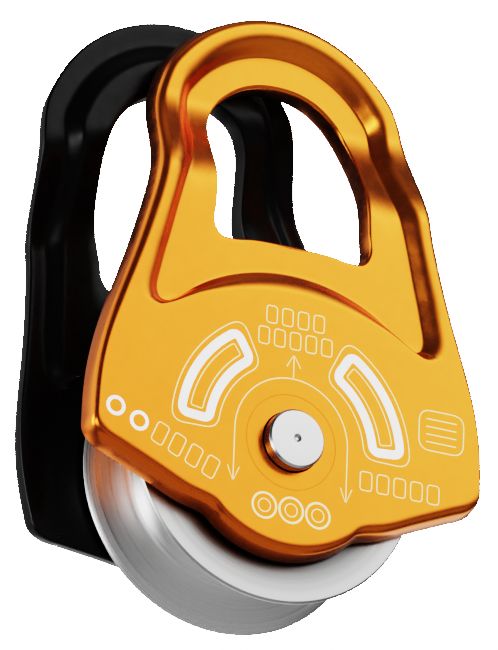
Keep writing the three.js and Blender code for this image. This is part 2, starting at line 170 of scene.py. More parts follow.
def closed_curve(half, count):
    """Evenly spaced points on a smooth closed curve through a right half and its mirror image."""
    knots = np.array(list(half) + [(-u, v) for u, v in reversed(half[1:-1])])
    steps = 24
    points = []
    total = len(knots)
    for i in range(total):
        p0, p1, p2, p3 = (knots[(i + k - 1) % total] for k in range(4))
        t1 = np.linalg.norm(p1 - p0) ** 0.5
        t2 = t1 + np.linalg.norm(p2 - p1) ** 0.5
        t3 = t2 + np.linalg.norm(p3 - p2) ** 0.5
        for t in np.linspace(t1, t2, steps, endpoint=False):
            a1 = p0 * (t1 - t) / t1 + p1 * t / t1
            a2 = p1 * (t2 - t) / (t2 - t1) + p2 * (t - t1) / (t2 - t1)
            a3 = p2 * (t3 - t) / (t3 - t2) + p3 * (t - t2) / (t3 - t2)
            b1 = a1 * (t2 - t) / t2 + a2 * t / t2
            b2 = a2 * (t3 - t) / (t3 - t1) + a3 * (t - t1) / (t3 - t1)
            points.append(b1 * (t2 - t) / (t2 - t1) + b2 * (t - t1) / (t2 - t1))
    points = np.array(points + [points[0]])
    lengths = np.concatenate([[0.0], np.cumsum(np.linalg.norm(np.diff(points, axis=0), axis=1))])
    places = np.linspace(0.0, lengths[-1], count + 1)
    return np.stack([np.interp(places, lengths, points[:, k]) for k in range(2)], axis=1)


def matched_loop(half, corner):
    """A closed loop whose columns face the other loops': it is split at the point nearest a corner."""
    fine = 8000
    right = closed_curve(half, fine)[:fine // 2 + 1]
    split = int(np.argmin(np.linalg.norm(right - np.array(corner), axis=1)))
    lower = np.round(np.linspace(0, split, LOWER_COLUMNS, endpoint=False)).astype(int)
    upper = np.round(np.linspace(split, len(right) - 1, UPPER_COLUMNS + 1)).astype(int)
    half_loop = right[np.concatenate([lower, upper])]
    mirrored = half_loop[1:-1][::-1] * np.array([-1.0, 1.0])
    return np.concatenate([half_loop, mirrored])


def bend(start, corner, end, steps):
    """Points of a smooth bend from start to end, drawn towards a corner."""
    start, corner, end = (np.array(point, float) for point in (start, corner, end))
    return [(1 - t) ** 2 * start + 2 * t * (1 - t) * corner + t ** 2 * end
            for t in np.linspace(0.0, 1.0, steps + 1)]


def towards(loop, target, distance):
    """Every point of a loop moved a distance, or its own distance, towards its match on another loop."""
    way = target - loop
    way /= np.linalg.norm(way, axis=1, keepdims=True)
    return loop + way * np.broadcast_to(distance, len(loop))[:, None]


def smoothstep(value, low, high):
    """A smooth rise from 0 at low to 1 at high."""
    t = np.clip((value - low) / (high - low), 0.0, 1.0)
    return t * t * (3.0 - 2.0 * t)


# ---- Mesh helpers ----

def new_piece(name, vertices, faces, sharp_angle=SHARP_ANGLE):
    """A smooth-shaded mesh object from points in metres, with edges sharper than an angle kept crisp."""
    mesh = bpy.data.meshes.new(name)
    mesh.from_pydata([tuple(p) for p in vertices], [], faces)
    mesh.validate()
    mesh.shade_smooth()
    mesh.set_sharp_from_angle(angle=math.radians(sharp_angle))
    piece = bpy.data.objects.new(name, mesh)
    bpy.context.scene.collection.objects.link(piece)
    return piece


def apply_modifiers(piece):
    """Turns a piece and its modifiers into a plain mesh."""
    graph = bpy.context.evaluated_depsgraph_get()
    mesh = bpy.data.meshes.new_from_object(piece.evaluated_get(graph))
    piece.modifiers.clear()
    piece.data = mesh
    mesh.shade_smooth()
    mesh.set_sharp_from_angle(angle=math.radians(SHARP_ANGLE))


def turned(name, section, segments=160, rounding=0.0):
    """A piece turned about the axle from a closed section of (radius, y) points, in mm."""
    profile = rounded(section, rounding) if rounding else section
    angles = np.linspace(0.0, 2.0 * math.pi, segments, endpoint=False)
    vertices = []
    rows = []
    for radius, y in profile:
        if radius < TINY:
            rows.append([len(vertices)])
            vertices.append(AXLE + Vector((0.0, y * MM, 0.0)))
            continue
        rows.append(list(range(len(vertices), len(vertices) + segments)))
        for angle in angles:
            offset = Vector((radius * math.cos(angle), y, radius * math.sin(angle)))
            vertices.append(AXLE + offset * MM)
    faces = []
    closed = len(rows[0]) > 1
    pairs = zip(rows, rows[1:] + rows[:1]) if closed else zip(rows[:-1], rows[1:])
    for a, b in pairs:
        for i in range(segments):
            j = (i + 1) % segments
            if len(a) == 1:
                faces.append((a[0], b[i], b[j]))
            elif len(b) == 1:
                faces.append((a[j], a[i], b[0]))
            else:
                faces.append((a[i], b[i], b[j], a[j]))
    piece = new_piece(name, vertices, faces)
    face_outwards(piece)
    return piece


def rounded(section, radius):
    """The section with each corner off the axis turned into a small bend."""
    steps = 4
    most_of_gap = 0.4
    out = []
    count = len(section)
    for i, here in enumerate(section):
        before = np.array(section[i - 1])
        point = np.array(here)
        after = np.array(section[(i + 1) % count])
        gap = min(np.linalg.norm(before - point), np.linalg.norm(after - point))
        if here[0] < TINY or gap < TINY:
            out.append(here)
            continue
        reach = min(radius, most_of_gap * gap)
        start = point + (before - point) / np.linalg.norm(before - point) * reach
        end = point + (after - point) / np.linalg.norm(after - point) * reach
        out.extend(tuple(p) for p in bend(start, point, end, steps))
    return out


def face_outwards(piece):
    """Turns all faces of a closed piece outwards."""
    mesh = bmesh.new()
    mesh.from_mesh(piece.data)
    bmesh.ops.recalc_face_normals(mesh, faces=mesh.faces)
    if mesh.calc_volume(signed=True) < 0:
        bmesh.ops.reverse_faces(mesh, faces=mesh.faces)
    mesh.to_mesh(piece.data)
    mesh.free()


# ---- Side plates ----

def wall_fall(place):
    """Share of the recess's depth reached across its wall: a wide round brow, then a tight foot."""
    brow_end, foot_start = 0.6, 0.85
    places = np.linspace(0.0, 1.0, 401)
    slope = np.minimum(1.0, np.minimum(places / brow_end, (1.0 - places) / (1.0 - foot_start)))
    fall = np.cumsum(slope)
    return float(np.interp(place, places, fall / fall[-1]))


def plate_rings(head_rise):
    """Loops from the edge over the outer face to the eye and back over the inner face, with depths."""
    lobe = arc(0.0, LOBE_RADIUS, 0, 44, 7)
    head = arc(EYE_HEIGHT, HEAD_RADIUS, 122, 180, 8)
    stretch = 1 + head_rise / HEAD_RADIUS
    half = [(u, EYE_HEIGHT + (v - EYE_HEIGHT) * stretch if v > EYE_HEIGHT else v)
            for u, v in lobe + OUTLINE_SIDE + head]
    outline = matched_loop(half, OUTLINE_CORNER)
    floor_arch = arc(0.0, FLOOR_ARC_RADIUS, 180, 138, 8)
    floor_head = arc(EYE_HEIGHT, FLOOR_HEAD_RADIUS, 118, 180, 8)
    floor = matched_loop(floor_arch + FLOOR_SIDE + floor_head, FLOOR_CORNER)
    eye = matched_loop(EYE_HALF, EYE_CORNER)
    hold = 0.08             # a strip this wide keeps the flat face flat beside the rounded edge
    rim = np.linalg.norm(outline - floor, axis=1)
    wall = np.minimum(RECESS_WALL, rim - EDGE_DRAFT - EDGE_RADIUS - 2 * hold)
    shoulder = towards(floor, outline, wall)

    def floor_depth(loop):
        return RECESS_LOW + (RECESS_HIGH - RECESS_LOW) * smoothstep(loop[:, 1], *RECESS_SPAN)

    rings = []

    def add(loop, depth):
        rings.append((loop, depth + np.zeros(len(loop))))

    # outer face: the rounded edge, the flat band, the recess's wall and floor, and the eye's edge
    wall_steps = 16
    lean = math.degrees(math.atan(EDGE_DRAFT / (THICKNESS - EDGE_RADIUS)))
    for angle in np.radians(np.linspace(lean, 90, 9)):
        inset = EDGE_DRAFT + EDGE_RADIUS * (1 - math.cos(angle))
        add(towards(outline, shoulder, inset), EDGE_RADIUS * (1 - math.sin(angle)))
    brink = towards(outline, shoulder, EDGE_DRAFT + EDGE_RADIUS + hold)
    for share in (1.0, 0.7, 0.4, 0.15):
        add(shoulder + (brink - shoulder) * share, 0.0)
    for share in np.linspace(1.0, 0.0, wall_steps + 1):
        loop = towards(floor, outline, wall * share)
        add(loop, floor_depth(loop) * wall_fall(1 - share))
    for share in (0.12, 0.35, 0.65, 0.9):
        loop = floor + (eye - floor) * share
        add(loop, floor_depth(loop))
    for angle in np.radians(np.linspace(90, 0, 6)):
        loop = towards(eye, floor, EYE_EDGE_RADIUS * (1 - math.cos(angle)))
        add(loop, floor_depth(loop) + EYE_EDGE_RADIUS * (1 - math.sin(angle)))
    # inner face: the eye's edge, the floor, a wider wall, the flat band and the outer edge
    for angle in np.radians(np.linspace(0, 90, 4)):
        loop = towards(eye, floor, BACK_EDGE_RADIUS * (1 - math.cos(angle)))
        add(loop, floor_depth(loop) + THICKNESS - BACK_EDGE_RADIUS * (1 - math.sin(angle)))
    for share in (0.7, 0.3):
        loop = floor + (eye - floor) * share
        add(loop, floor_depth(loop) + THICKNESS)
    for share in np.linspace(0.0, 1.0, 9):
        loop = towards(floor, outline, wall * share)
        add(loop, THICKNESS + floor_depth(loop) * (1 - smoothstep(share, 0.0, 1.0)))
    for share in (0.3, 0.6):
        add(shoulder + (outline - shoulder) * share, THICKNESS)
    for angle in np.radians(np.linspace(90, 0, 4)):
        loop = towards(outline, shoulder, BACK_EDGE_RADIUS * (1 - math.cos(angle)))
        add(loop, THICKNESS - BACK_EDGE_RADIUS * (1 - math.sin(angle)))
    return rings


def side_plate(name, front, bore, joggle_depth, head_rise, swing=0.0):
    """The front side plate, or its mirror image swung about the axle by an angle in degrees."""
    rings = plate_rings(head_rise)
    columns = len(rings[0][0])
    side = -1.0 if front else 1.0
    turn = math.radians(swing)
    vertices = []
    for loop, depth in rings:
        joggle = joggle_depth * smoothstep(loop[:, 1], *JOGGLE_SPAN)
        for (u, v), inward in zip(loop, depth + joggle):
            x = u * math.cos(turn) - v * math.sin(turn)
            z = u * math.sin(turn) + v * math.cos(turn)
            vertices.append(AXLE + Vector((x, side * (PLATE_FACE - inward), z)) * MM)
    faces = []
    for k in range(len(rings)):
        a = k * columns
        b = (k + 1) % len(rings) * columns
        for i in range(columns):
            j = (i + 1) % columns
            faces.append((a + i, a + j, b + j, b + i))
    plate = new_piece(name, vertices, faces)
    face_outwards(plate)
    reach = 20.0
    drill = turned("drill", [(0.0, -reach), (bore, -reach), (bore, reach), (0.0, reach)], 128)
    cut = plate.modifiers.new("bore", "BOOLEAN")
    cut.object = drill
    cut.solver = "EXACT"
    apply_modifiers(plate)
    bpy.data.objects.remove(drill)
    return plate


# ---- Engraved marks on the front plate: plain line work, no lettering ----

LINE = 0.13                 # widths
BOLD = 1.05
MARK_HEIGHT = 0.012         # above the plate's face, and below it
MARK_SINK = 0.05
MARK_SHARP_ANGLE = 20.0
MARK_BEND_STEPS = 6
SLOT_RADII = (10.15, 13.6)  # the two curved slots about the axle
SLOT_ANGLES = (4.5, 58.5)
SLOT_CORNER = 0.9


class Marks:
    """Collects flat strokes on the front plate's face and makes one mesh of them."""

    def __init__(self):
        self.vertices = []
        self.faces = []

    def stroke(self, points, width, closed=False):
        """Adds a flat bar along a line of points, thin enough to read as an etched line."""
        line = np.array(points, float)
        if closed:
            before, after = np.roll(line, 1, axis=0), np.roll(line, -1, axis=0)
        else:
            before = np.concatenate([line[:1], line[:-1]])
            after = np.concatenate([line[1:], line[-1:]])
        way = after - before
        way /= np.linalg.norm(way, axis=1, keepdims=True)
        across = np.stack([-way[:, 1], way[:, 0]], axis=1) * width / 2
        start = len(self.vertices)
        for p, n in zip(line, across):
            for edge in (p + n, p - n):
                for lift in (MARK_HEIGHT, -MARK_SINK):
                    place = Vector((edge[0], -PLATE_FACE - lift, edge[1]))
                    self.vertices.append(AXLE + place * MM)
        count = len(line)
        for i in range(count if closed else count - 1):
            a = start + 4 * i
            b = start + 4 * ((i + 1) % count)
            self.faces += [(a, a + 2, b + 2, b), (a + 1, b + 1, b + 3, a + 3),
                           (a, b, b + 1, a + 1), (a + 2, a + 3, b + 3, b + 2)]
        if not closed:
            a, b = start, start + 4 * (count - 1)
            self.faces += [(a, a + 1, a + 3, a + 2), (b, b + 2, b + 3, b + 1)]

    def piece(self, name):
        """The strokes so far as one mesh object."""
        made = new_piece(name, self.vertices, self.faces, MARK_SHARP_ANGLE)
        face_outwards(made)
        return made


def rounded_loop(corners, radius):
    """A closed loop of points with its corners rounded."""
    out = []
    corners = [np.array(c, float) for c in corners]
    for i, here in enumerate(corners):
        before, after = corners[i - 1], corners[(i + 1) % len(corners)]
        start = here + (before - here) / np.linalg.norm(before - here) * radius
        end = here + (after - here) / np.linalg.norm(after - here) * radius
        out += bend(start, here, end, MARK_BEND_STEPS)
    return out


def slot_loop(inner, outer, start, end, radius, side):
    """A curved slot about the axle between two radii and two angles, in degrees, with rounded corners."""
    loop = []
    pad_out = math.degrees(radius / outer)
    pad_in = math.degrees(radius / inner)

    def at(r, angle):
        a = math.radians(angle)
        return np.array([side * r * math.cos(a), r * math.sin(a)])

    def corner(before, here, after):
        loop.extend(bend(before, here, after, MARK_BEND_STEPS))

    corner(at(outer - radius, start), at(outer, start), at(outer, start + pad_out))
    loop.extend(at(outer, a) for a in np.linspace(start + pad_out, end - pad_out, 26)[1:-1])
    corner(at(outer, end - pad_out), at(outer, end), at(outer - radius, end))
    corner(at(inner + radius, end), at(inner, end), at(inner, end - pad_in))
    loop.extend(at(inner, a) for a in np.linspace(end - pad_in, start + pad_in, 22)[1:-1])
    corner(at(inner, start + pad_in), at(inner, start), at(inner + radius, start))
    return loop


def arrow_head(tip_u, tip_v, half_width, length):
    """An open arrow head; a negative length points it upwards."""
    return [(tip_u - half_width, tip_v + length), (tip_u, tip_v), (tip_u + half_width, tip_v + length)]


def circle_points(centre, radius, count=40):
    """Evenly spaced points on a circle."""
    angles = np.linspace(0, 2 * math.pi, count, endpoint=False)
    return [(centre[0] + radius * math.cos(a), centre[1] + radius * math.sin(a)) for a in angles]


def bar_loop(centre, width, height, tilt=0.0):
    """A small rounded bar, tilted by an angle in degrees."""
    c, s = math.cos(math.radians(tilt)), math.sin(math.radians(tilt))
    corners = []
    for sx, sy in ((-1, -1), (1, -1), (1, 1), (-1, 1)):
        dx, dy = sx * width / 2, sy * height / 2
        corners.append((centre[0] + dx * c - dy * s, centre[1] + dx * s + dy * c))
    corner_share = 0.3
    return rounded_loop(corners, min(width, height) * corner_share)


def front_marks():
    """Thin lines, bold rings and slots, and the faint seam round the axle, as three pieces."""
    thin, bold, seam = Marks(), Marks(), Marks()
    seam.stroke(circle_points((0.0, 0.0), 5.5, 90), 0.09, closed=True)

    # a half ring round the axle whose two ends run down to arrow heads, and an arrow up from its top
    ring_centre, ring_radius = 0.46, 6.97
    arrow_end = -5.84
    angles = np.radians(np.linspace(0, 180, 60))
    ring = [(ring_radius * math.cos(a), ring_centre + ring_radius * math.sin(a)) for a in angles]
    thin.stroke([(ring_radius, arrow_end)] + ring + [(-ring_radius, arrow_end)], LINE)
    slot_inner, slot_outer = SLOT_RADII
    slot_start, slot_end = SLOT_ANGLES
    slot_middle = 12.0
    for side in (-1, 1):
        thin.stroke(arrow_head(side * ring_radius, arrow_end, 0.72, 1.75), LINE)
        for growth, stroke, width in ((0.0, bold, BOLD), (1.15, thin, LINE), (-0.98, thin, LINE)):
            pad = math.degrees(growth / slot_middle)
            loop = slot_loop(slot_inner - growth, slot_outer + growth, slot_start - pad, slot_end + pad,
                             SLOT_CORNER + 0.6 * growth, side)
            stroke.stroke(loop, width, closed=True)
    arrow_top = 10.3
    thin.stroke([(0, 7.45), (0, arrow_top)], LINE)
    thin.stroke(arrow_head(0, arrow_top, 0.85, -1.5), LINE)

    # rows of bars: the first one's centre, the step to the next, their size, their tilt and their number
    rows = (((-2.9, 14.5), (1.95, 0.0), (1.3, 2.0), 0.0, 4),
            ((-3.8, 11.9), (1.95, 0.0), (1.3, 2.0), 0.0, 5),
            ((-16.0, -2.1), (2.1, -0.88), (1.5, 2.5), -23.0, 4),
            ((9.4, -2.75), (2.1, 0.0), (1.45, 2.2), 0.0, 5))
    for (u, v), (step_u, step_v), (width, height), tilt, count in rows:
        for i in range(count):
            centre = (u + step_u * i, v + step_v * i)
            thin.stroke(bar_loop(centre, width, height, tilt), LINE, closed=True)
    for i in range(2):
        bold.stroke(circle_points((-21.5 + 2.9 * i, 0.1 - 1.2 * i), 0.95), 0.42, closed=True)

    # a rounded square with four lines in it, and three double rings
    square_u, square_v = 18.6, 4.75
    line_reach, top_line, line_gap = 1.9, 1.35, 0.9
    thin.stroke(bar_loop((square_u, square_v), 5.6, 4.7), LINE, closed=True)
    for k in range(4):
        v = square_v + top_line - line_gap * k
        thin.stroke([(square_u - line_reach, v), (square_u + line_reach, v)], LINE)
    for i in (-1, 0, 1):
        centre = (0.3 + 3.3 * i, -7.9)
        thin.stroke(circle_points(centre, 1.45), 0.26, closed=True)
        thin.stroke(circle_points(centre, 0.75, 28), LINE, closed=True)
    return (thin.piece("front_plate_line_marks"), bold.piece("front_plate_bold_marks"),
            seam.piece("front_plate_axle_seam"))


# ---- Turned parts ----

def sheave_section():
    """The sheave: a stepped and dished bore side, chamfered rims and a groove with rounded lips."""
    w, radius = SHEAVE_HALF_WIDTH, SHEAVE_RADIUS
    flank = math.radians(GROOVE_FLANK)
    arc_angles = np.radians(np.linspace(GROOVE_FLANK, 180 - GROOVE_FLANK, 41))
    groove = [(GROOVE_BASE + GROOVE_RADIUS - GROOVE_RADIUS * math.sin(a), -GROOVE_RADIUS * math.cos(a))
              for a in arc_angles]
    brink = (radius - groove[0][0]) * math.tan(flank) - groove[0][1]
    on_flank = (radius - GROOVE_LIP * math.cos(flank), brink - GROOVE_LIP * math.sin(flank))
    far_lip = [tuple(p) for p in bend(on_flank, (radius, brink), (radius, brink + LIP_LAND), 12)]
    near_lip = [(r, -y) for r, y in reversed(far_lip)]
    stop_radius, stop_near, stop_far = SEAT_STOP
    dish_radius, dish_side = DISH_FLOOR
    clip_radius, clip_near, clip_far = CIRCLIP_GROOVE
    near_side = [(BEARING_SEAT, stop_far), (stop_radius, stop_far), (stop_radius, stop_near),
                 (dish_radius, -dish_side), (DISH_RADIUS, -w), (radius - RIM_CHAMFER, -w),
                 (radius, -w + RIM_CHAMFER)]
    far_side = [(radius, w - RIM_CHAMFER), (radius - RIM_CHAMFER, w), (DISH_RADIUS, w),
                (dish_radius, dish_side), (BEARING_SEAT, SEAT_END), (BEARING_SEAT, clip_far),
                (clip_radius, clip_far), (clip_radius, clip_near), (BEARING_SEAT, clip_near)]
    return near_side + near_lip + groove + far_lip + far_side


def axle_section():
    """The axle: a punched near end, thin ends, a thick middle and a domed riveted head."""
    near, far, thin, thick, head = AXLE_NEAR, AXLE_FAR, AXLE_THIN, AXLE_THICK, RIVET_RADIUS
    dimple = [(0.0, near + 0.21), (0.2, near + 0.16), (0.42, near + 0.03), (0.52, near)]
    shaft = [(thin - AXLE_CHAMFER, near), (thin, near + AXLE_CHAMFER), (thin, -AXLE_SHOULDER),
             (thick, -AXLE_SHOULDER), (thick, AXLE_SHOULDER), (thin, AXLE_SHOULDER), (thin, RIVET_NEAR)]
    dome = [(head, RIVET_NEAR), (head, far - 0.55), (head - 0.12, far - 0.25), (head - 0.5, far - 0.05),
            (head - 1.3, far), (0.0, far)]
    return dimple + shaft + dome


def race_section(back, shoulder):
    """A bearing race between its plain back and its shoulder, with a raceway in the shoulder's side."""
    w = BEARING_HALF_WIDTH
    side = 1 if back > shoulder else -1
    reach = math.acos(abs(BALL_PITCH - shoulder) / RACEWAY)
    groove = [(BALL_PITCH + side * RACEWAY * math.cos(a), RACEWAY * math.sin(a))
              for a in np.linspace(-reach, reach, 13)]
    return [(shoulder, -w)] + groove + [(shoulder, w), (back, w), (back, -w)]


def sleeve_section(inner, outer, near, far):
    """A plain ring."""
    return [(inner, near), (outer, near), (outer, far), (inner, far)]


def seal_section(side):
    """A bearing seal with a ring pressed into its outer face."""
    inner, groove_inner, groove_outer, outer = SEAL_RADII
    near, far = SEAL_SIDES
    section = [(inner, near), (outer, near), (outer, far), (groove_outer, far - SEAL_GROOVE),
               (groove_inner, far - SEAL_GROOVE), (inner, far)]
    return [(r, side * y) for r, y in section]


def ball(name, cad_node):
    """A ball of the bearing, where its CAD node is."""
    low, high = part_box(cad_node)
    centre = Matrix.Translation((low + high) / 2)
    mesh = bmesh.new()
    bmesh.ops.create_icosphere(mesh, subdivisions=4, radius=BALL_RADIUS * MM, matrix=centre)
    data = bpy.data.meshes.new(name)
    mesh.to_mesh(data)
    mesh.free()
    data.shade_smooth()
    piece = bpy.data.objects.new(name, data)
    bpy.context.scene.collection.objects.link(piece)
    return piece


# ---- Materials ----

def material(name, colour, roughness, metallic):
    """A node material with a Principled shader: the material, its node tree and its shader."""
    made = bpy.data.materials.new(name)
    made.use_nodes = True
    tree = made.node_tree
    shader = tree.nodes["Principled BSDF"]
    shader.inputs["Base Color"].default_value = (*colour, 1.0)
    shader.inputs["Roughness"].default_value = roughness
    shader.inputs["Metallic"].default_value = metallic
    return made, tree, shader


def node(tree, kind, **settings):
    """A new node with some of its settings."""
    made = tree.nodes.new(kind)
    for key, value in settings.items():
        setattr(made, key, value)
    return made


def math_node(tree, operation, first, second=None):
    """The result of a maths node on one or two values, each a socket or a number."""
    made = node(tree, "ShaderNodeMath", operation=operation)
    for socket, value in zip(made.inputs, (first, second)):
        if isinstance(value, (int, float)):
            socket.default_value = value
        elif value is not None:
            tree.links.new(value, socket)
    return made.outputs[0]


def axle_coordinates(tree):
    """Object coordinates measured from the axle, in metres."""
    source = node(tree, "ShaderNodeTexCoord")
    shift = node(tree, "ShaderNodeVectorMath", operation="SUBTRACT")
    tree.links.new(source.outputs["Object"], shift.inputs[0])
    shift.inputs[1].default_value = AXLE
    return shift.outputs[0]


def axle_radius(tree):
    """Distance from the axle's line."""
    flat = node(tree, "ShaderNodeVectorMath", operation="MULTIPLY")
    tree.links.new(axle_coordinates(tree), flat.inputs[0])
    flat.inputs[1].default_value = (1.0, 0.0, 1.0)
    length = node(tree, "ShaderNodeVectorMath", operation="LENGTH")
    tree.links.new(flat.outputs[0], length.inputs[0])
    return length.outputs["Value"]


def noise(tree, vector, scale, detail):
    """Cloudy noise of a scale in cycles per metre."""
    texture = node(tree, "ShaderNodeTexNoise")
    texture.inputs["Scale"].default_value = scale
    texture.inputs["Detail"].default_value = detail
    tree.links.new(vector, texture.inputs["Vector"])
    return texture.outputs["Fac"]


def remap(tree, value, low, high, from_low=0.3, from_high=0.7):
    """A value's range stretched to low and high; the default range is where most noise lies."""
    made = node(tree, "ShaderNodeMapRange")
    tree.links.new(value, made.inputs["Value"])
    made.inputs["From Min"].default_value = from_low
    made.inputs["From Max"].default_value = from_high
    made.inputs["To Min"].default_value = low
    made.inputs["To Max"].default_value = high
    return made.outputs["Result"]


def mix_colours(tree, factor, first, second):
    """From the first colour at 0 to the second at 1."""
    made = node(tree, "ShaderNodeMix", data_type="RGBA")
    tree.links.new(factor, made.inputs["Factor"])
    made.inputs["A"].default_value = (*first, 1.0)
    made.inputs["B"].default_value = (*second, 1.0)
    return made.outputs["Result"]


def bump(tree, shader, height, distance):
    """Fine relief of a depth in metres."""
    made = node(tree, "ShaderNodeBump")
    made.inputs["Distance"].default_value = distance
    made.inputs["Strength"].default_value = 1.0
    tree.links.new(height, made.inputs["Height"])
    tree.links.new(made.outputs["Normal"], shader.inputs["Normal"])


def anodised(name, colour, shade_and_patch_colour, roughness, metallic):
    """Dyed anodised aluminium: painted shade, darker towards the lower left and lighter towards the upper
    right, patches in the dye, handling haze and fine grain.
    """
    made, tree, shader = material(name, colour, roughness, metallic)
    place = axle_coordinates(tree)
    along = node(tree, "ShaderNodeVectorMath", operation="DOT_PRODUCT")
    tree.links.new(place, along.inputs[0])
    along.inputs[1].default_value = (0.8, 0.0, 0.6)
    # painted shade: the colour falls to the second colour towards the lower left, a light falloff painted
    # in, with random dye patches on top
    falloff_start, falloff_end = -24 * MM, 30 * MM
    falloff_share, patch_share = 0.85, 0.15
    light_falloff = remap(tree, along.outputs["Value"], 0.0, falloff_share, falloff_start, falloff_end)
    patches = remap(tree, noise(tree, place, 90.0, 3.0), 0.0, patch_share)
    colours = mix_colours(tree, math_node(tree, "ADD", light_falloff, patches), shade_and_patch_colour, colour)
    tree.links.new(colours, shader.inputs["Base Color"])
    haze = noise(tree, place, 700.0, 6.0)
    tree.links.new(remap(tree, haze, roughness - 0.04, roughness + 0.05), shader.inputs["Roughness"])
    grain = noise(tree, place, 5200.0, 3.0)
    bump(tree, shader, grain, 0.000004)
    shader.inputs["Coat Weight"].default_value = 0.5 * metallic
    shader.inputs["Coat Roughness"].default_value = 0.5
    shader.inputs["Specular IOR Level"].default_value = 0.3
    return made


def turned_metal(name, colour, roughness, line_scale, anisotropy, face=None):
    """Lathe-turned metal: concentric tool lines round the axle.

    face is for a wheel whose flat sides get painted shade, standing in for the shadow of the side plates:
    how far out they are, the radii between which the painted shade lightens, and their shades at those
    radii.
    """
    made, tree, shader = material(name, colour, roughness, 1.0)
    radius = axle_radius(tree)
    combine = node(tree, "ShaderNodeCombineXYZ")
    tree.links.new(radius, combine.inputs[0])
    split = node(tree, "ShaderNodeSeparateXYZ")
    tree.links.new(axle_coordinates(tree), split.inputs[0])
    tree.links.new(split.outputs["Y"], combine.inputs[1])
    lines = noise(tree, combine.outputs[0], line_scale, 5.0)
    darker = tuple(0.93 * c for c in colour)
    colours = mix_colours(tree, remap(tree, lines, 0.0, 1.0), darker, colour)
    # painted shade: the flat faces darken towards the hub, standing in for the shadow under the side
    # plates
    if face:
        side, radii, shades = face
        fade = remap(tree, radius, *shades, *(r * MM for r in radii))
        outwards = math_node(tree, "ABSOLUTE", split.outputs["Y"])
        beyond = math_node(tree, "GREATER_THAN", outwards, side * MM)
        shade = node(tree, "ShaderNodeMix", data_type="FLOAT")
        tree.links.new(beyond, shade.inputs["Factor"])
        shade.inputs["A"].default_value = 1.0
        tree.links.new(fade, shade.inputs["B"])
        dimmed = node(tree, "ShaderNodeVectorMath", operation="SCALE")
        tree.links.new(colours, dimmed.inputs[0])
        tree.links.new(shade.outputs["Result"], dimmed.inputs["Scale"])
        colours = dimmed.outputs[0]
    tree.links.new(colours, shader.inputs["Base Color"])
    tree.links.new(remap(tree, lines, roughness - 0.05, roughness + 0.07), shader.inputs["Roughness"])
    bump(tree, shader, lines, 0.000006)
    shader.inputs["Anisotropic"].default_value = anisotropy
    tangent = node(tree, "ShaderNodeTangent", direction_type="RADIAL", axis="Y")
    tree.links.new(tangent.outputs[0], shader.inputs["Tangent"])
    return made


def plain(name, colour, roughness, metallic, grain=900.0, relief=0.00001):
    """A quiet material with a fine grain in its colour, roughness and surface."""
    made, tree, shader = material(name, colour, roughness, metallic)
    place = axle_coordinates(tree)
    fine = noise(tree, place, grain, 5.0)
    darker = tuple(0.85 * c for c in colour)
    colours = mix_colours(tree, remap(tree, fine, 0.0, 1.0), darker, colour)
    tree.links.new(colours, shader.inputs["Base Color"])
    tree.links.new(remap(tree, fine, roughness - 0.04, roughness + 0.04), shader.inputs["Roughness"])
    bump(tree, shader, fine, relief)
    return made


def make_materials():
    """The looks by name."""
    # painted shadow on the sheave's flat faces: dark near the hub, where the side plates shade them
    sheave_painted_shadow = (6.4, (12.9, 16.6), (0.1, 0.74))
    return {
        # each anodised look's second colour is its painted shade at the lower left, and also the colour
        # of its dye patches
        "gold": anodised("gold_anodised", (0.96, 0.272, 0.036), (0.93, 0.195, 0.022), 0.22, 1.0),
        "black": anodised("black_anodised", (0.006, 0.006, 0.0063), (0.004, 0.004, 0.0043), 0.3, 0.0),
        "sheave": turned_metal("turned_aluminium", (0.78, 0.777, 0.772), 0.31, 5200.0, 0.3, sheave_painted_shadow),
        "axle": turned_metal("turned_steel", (0.66, 0.66, 0.67), 0.24, 6000.0, 0.2),
        "race": plain("ground_steel", (0.62, 0.63, 0.65), 0.16, 1.0),
        "ball": plain("polished_steel", (0.8, 0.8, 0.82), 0.06, 1.0, 500.0, 0.000001),
        "washer": plain("plain_steel", (0.6, 0.6, 0.61), 0.3, 1.0),
        "bronze": plain("bronze", (0.55, 0.33, 0.13), 0.42, 1.0, 2500.0, 0.00002),
        "acetal": plain("acetal", (0.78, 0.76, 0.7), 0.5, 0.0),
        "cage": plain("cage_polymer", (0.2, 0.11, 0.05), 0.55, 0.0),
        "rubber": plain("seal_rubber", (0.015, 0.014, 0.014), 0.6, 0.0, 1600.0, 0.00002),
        "mark_thin": plain("etched_line", (0.97, 0.80, 0.42), 0.3, 1.0),
        "seam": plain("pressed_seam", (0.85, 0.17, 0.02), 0.25, 1.0),
        "mark_bold": plain("etched_slot", (0.99, 0.98, 0.95), 0.22, 1.0, 300.0),
    }


def finish_piece(piece, body, slot, look, *nodes):
    """Gives a piece its look and its body, and the CAD nodes that it stands in for. slot is not used."""
    piece.data.materials.clear()
    piece.data.materials.append(look)
    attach(piece, body)
    if nodes:
        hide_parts(*nodes)


